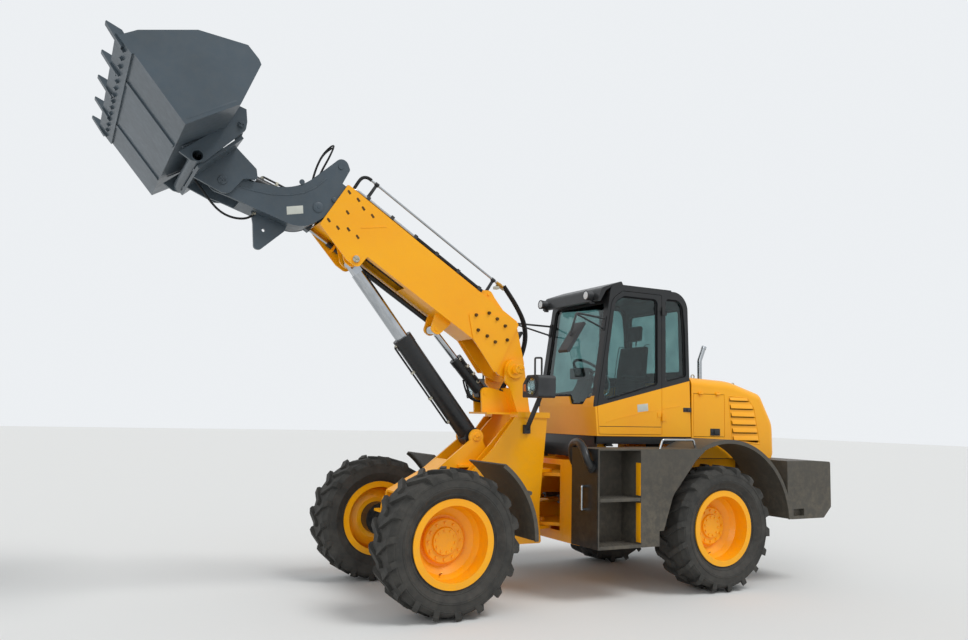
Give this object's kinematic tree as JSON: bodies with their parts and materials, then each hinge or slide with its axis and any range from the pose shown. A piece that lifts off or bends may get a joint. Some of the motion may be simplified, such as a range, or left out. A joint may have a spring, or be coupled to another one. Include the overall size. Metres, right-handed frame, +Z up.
{
  "type": "telescopic boom loader",
  "caption": "Articulated wheel loader with a raised telescopic boom, toothed bucket, cab over the pivot and a rear engine hood with counterweight.",
  "frame": {"origin": "on the ground under the middle of the machine's outer box", "axes": "+X towards the bucket, +Y to the machine's left, +Z up"},
  "size_m": [6.9726, 2.13, 4.1939],
  "materials": {
    "yellow_paint": "gloss",
    "slate_paint": "satin",
    "grey_paint": "satin",
    "black_paint": "satin",
    "tyre": "matte",
    "window_glass": "gloss",
    "chrome": "polished",
    "cast_iron": "matte",
    "black_plastic": "matte",
    "lamp_housing": "matte",
    "seat_cloth": "matte",
    "exhaust_steel": "satin"
  },
  "bodies": {
    "rear_frame": {"rear_frame": "yellow_paint", "rear_axle": "yellow_paint", "engine_block": "cast_iron", "hood": "yellow_paint", "counterweight": "grey_paint", "rear_fenders": "grey_paint", "step_boxes": "grey_paint", "step_covers": "black_paint", "cab_base": "yellow_paint", "cab_frame": "black_paint", "cab_roof": "yellow_paint", "cab_glass": "window_glass", "seat": "seat_cloth", "steering_column": "black_plastic", "exhaust_stack": "exhaust_steel", "work_lamps": "lamp_housing", "mirrors": "black_plastic"},
    "front_frame": {"front_frame": "yellow_paint", "front_axle": "yellow_paint", "front_fenders": "grey_paint", "head_lamps": "lamp_housing"},
    "outer_boom": {"outer_boom": "yellow_paint", "extension_cylinder": "black_paint"},
    "inner_boom": {"inner_boom": "slate_paint", "extension_rod": "chrome"},
    "bucket": {"coupler": "slate_paint", "bucket": "slate_paint"},
    "lift_barrel": {"lift_barrel": "black_paint"},
    "lift_rod": {"lift_rod": "chrome"},
    "compensation_barrel": {"compensation_barrel": "black_paint"},
    "compensation_rod": {"compensation_rod": "chrome"},
    "tilt_barrel": {"tilt_barrel": "black_paint"},
    "tilt_rod": {"tilt_rod": "chrome"},
    "steer_barrel_left": {"steer_barrel_left": "black_paint"},
    "steer_rod_left": {"steer_rod_left": "chrome"},
    "steer_barrel_right": {"steer_barrel_right": "black_paint"},
    "steer_rod_right": {"steer_rod_right": "chrome"},
    "hood_door_left": {"hood_door_left": "yellow_paint"},
    "hood_door_right": {"hood_door_right": "yellow_paint"},
    "cab_door": {"cab_door": "black_paint", "cab_door_panel": "yellow_paint", "cab_door_glass": "window_glass"},
    "wheel_front_left": {"tyre_front_left": "tyre", "rim_front_left": "yellow_paint"},
    "wheel_front_right": {"tyre_front_right": "tyre", "rim_front_right": "yellow_paint"},
    "wheel_rear_left": {"tyre_rear_left": "tyre", "rim_rear_left": "yellow_paint"},
    "wheel_rear_right": {"tyre_rear_right": "tyre", "rim_rear_right": "yellow_paint"}
  },
  "joints": [
    {"name": "articulation", "type": "hinge", "parent": "rear_frame", "child": "front_frame", "pos_m": [-0.63, 0, 0.8], "axis": [0, 0, 1], "range_deg": [-35, 35]},
    {"name": "wheel_front_left_spin", "type": "hinge", "parent": "front_frame", "child": "wheel_front_left", "pos_m": [0.77, 0.825, 0.58], "axis": [0, 1, 0], "continuous": true},
    {"name": "wheel_front_right_spin", "type": "hinge", "parent": "front_frame", "child": "wheel_front_right", "pos_m": [0.77, -0.825, 0.58], "axis": [0, 1, 0], "continuous": true},
    {"name": "wheel_rear_left_spin", "type": "hinge", "parent": "rear_frame", "child": "wheel_rear_left", "pos_m": [-2.03, 0.825, 0.58], "axis": [0, 1, 0], "continuous": true},
    {"name": "wheel_rear_right_spin", "type": "hinge", "parent": "rear_frame", "child": "wheel_rear_right", "pos_m": [-2.03, -0.825, 0.58], "axis": [0, 1, 0], "continuous": true},
    {"name": "boom_lift", "type": "hinge", "parent": "front_frame", "child": "outer_boom", "pos_m": [-0.19, 0, 2.01], "axis": [0, -1, 0], "range_deg": [-62, 10]},
    {"name": "boom_extension", "type": "slide", "parent": "outer_boom", "child": "inner_boom", "axis": [0.8499, 0, 0.527], "range_m": [0, 1]},
    {"name": "bucket_tilt", "type": "hinge", "parent": "inner_boom", "child": "bucket", "pos_m": [2.532, 0, 3.4], "axis": [0, 1, 0], "range_deg": [-20, 95]},
    {"name": "lift_barrel_swing", "type": "hinge", "parent": "front_frame", "child": "lift_barrel", "pos_m": [0.16, 0, 1.38], "axis": [0, -1, 0], "range_deg": [-66, 12]},
    {"name": "lift_rod_slide", "type": "slide", "parent": "lift_barrel", "child": "lift_rod", "axis": [0.6302, 0, 0.7764], "range_m": [-0.77, 0.13]},
    {"name": "compensation_barrel_swing", "type": "hinge", "parent": "front_frame", "child": "compensation_barrel", "pos_m": [0.05, 0, 1.79], "axis": [0, -1, 0], "range_deg": [-79, 14]},
    {"name": "compensation_rod_slide", "type": "slide", "parent": "compensation_barrel", "child": "compensation_rod", "axis": [0.679, 0, 0.7341], "range_m": [-0.285, 0.05]},
    {"name": "tilt_barrel_swing", "type": "hinge", "parent": "inner_boom", "child": "tilt_barrel", "pos_m": [1.73, 0, 3.3], "axis": [0, 1, 0], "range_deg": [-2, 4]},
    {"name": "tilt_rod_slide", "type": "slide", "parent": "tilt_barrel", "child": "tilt_rod", "axis": [0.9436, 0, 0.3309], "range_m": [-0.065, 0.29]},
    {"name": "steer_barrel_left_swing", "type": "hinge", "parent": "rear_frame", "child": "steer_barrel_left", "pos_m": [-1.23, 0.13, 0.8], "axis": [0, 0, 1], "range_deg": [-11, 11]},
    {"name": "steer_rod_left_slide", "type": "slide", "parent": "steer_barrel_left", "child": "steer_rod_left", "axis": [1, 0, 0], "range_m": [-0.085, 0.085]},
    {"name": "steer_barrel_right_swing", "type": "hinge", "parent": "rear_frame", "child": "steer_barrel_right", "pos_m": [-1.23, -0.13, 0.8], "axis": [0, 0, 1], "range_deg": [-11, 11]},
    {"name": "steer_rod_right_slide", "type": "slide", "parent": "steer_barrel_right", "child": "steer_rod_right", "axis": [1, 0, 0], "range_m": [-0.085, 0.085]},
    {"name": "cab_door_hinge", "type": "hinge", "parent": "rear_frame", "child": "cab_door", "pos_m": [-1.708, 0.512, 2], "axis": [0, 0, 1], "range_deg": [0, 85]},
    {"name": "hood_door_left_hinge", "type": "hinge", "parent": "rear_frame", "child": "hood_door_left", "pos_m": [-2.33, 0.51, 1.848], "axis": [1, 0, 0], "range_deg": [0, 75]},
    {"name": "hood_door_right_hinge", "type": "hinge", "parent": "rear_frame", "child": "hood_door_right", "pos_m": [-2.33, -0.51, 1.848], "axis": [-1, 0, 0], "range_deg": [0, 75]}
  ],
  "couplings": [
    {"joint": "lift_barrel_swing", "follows": "boom_lift", "ratio": 1.0352},
    {"joint": "lift_rod_slide", "follows": "boom_lift", "m_per_rad": 0.698},
    {"joint": "compensation_barrel_swing", "follows": "boom_lift", "ratio": 1.2477},
    {"joint": "compensation_rod_slide", "follows": "boom_lift", "m_per_rad": 0.2538},
    {"joint": "tilt_barrel_swing", "follows": "bucket_tilt", "ratio": 0.0104},
    {"joint": "tilt_rod_slide", "follows": "bucket_tilt", "m_per_rad": 0.1703},
    {"joint": "steer_barrel_left_swing", "follows": "articulation", "ratio": 0.2668},
    {"joint": "steer_rod_left_slide", "follows": "articulation", "m_per_rad": -0.128},
    {"joint": "steer_barrel_right_swing", "follows": "articulation", "ratio": 0.2668},
    {"joint": "steer_rod_right_slide", "follows": "articulation", "m_per_rad": 0.128}
  ]
}
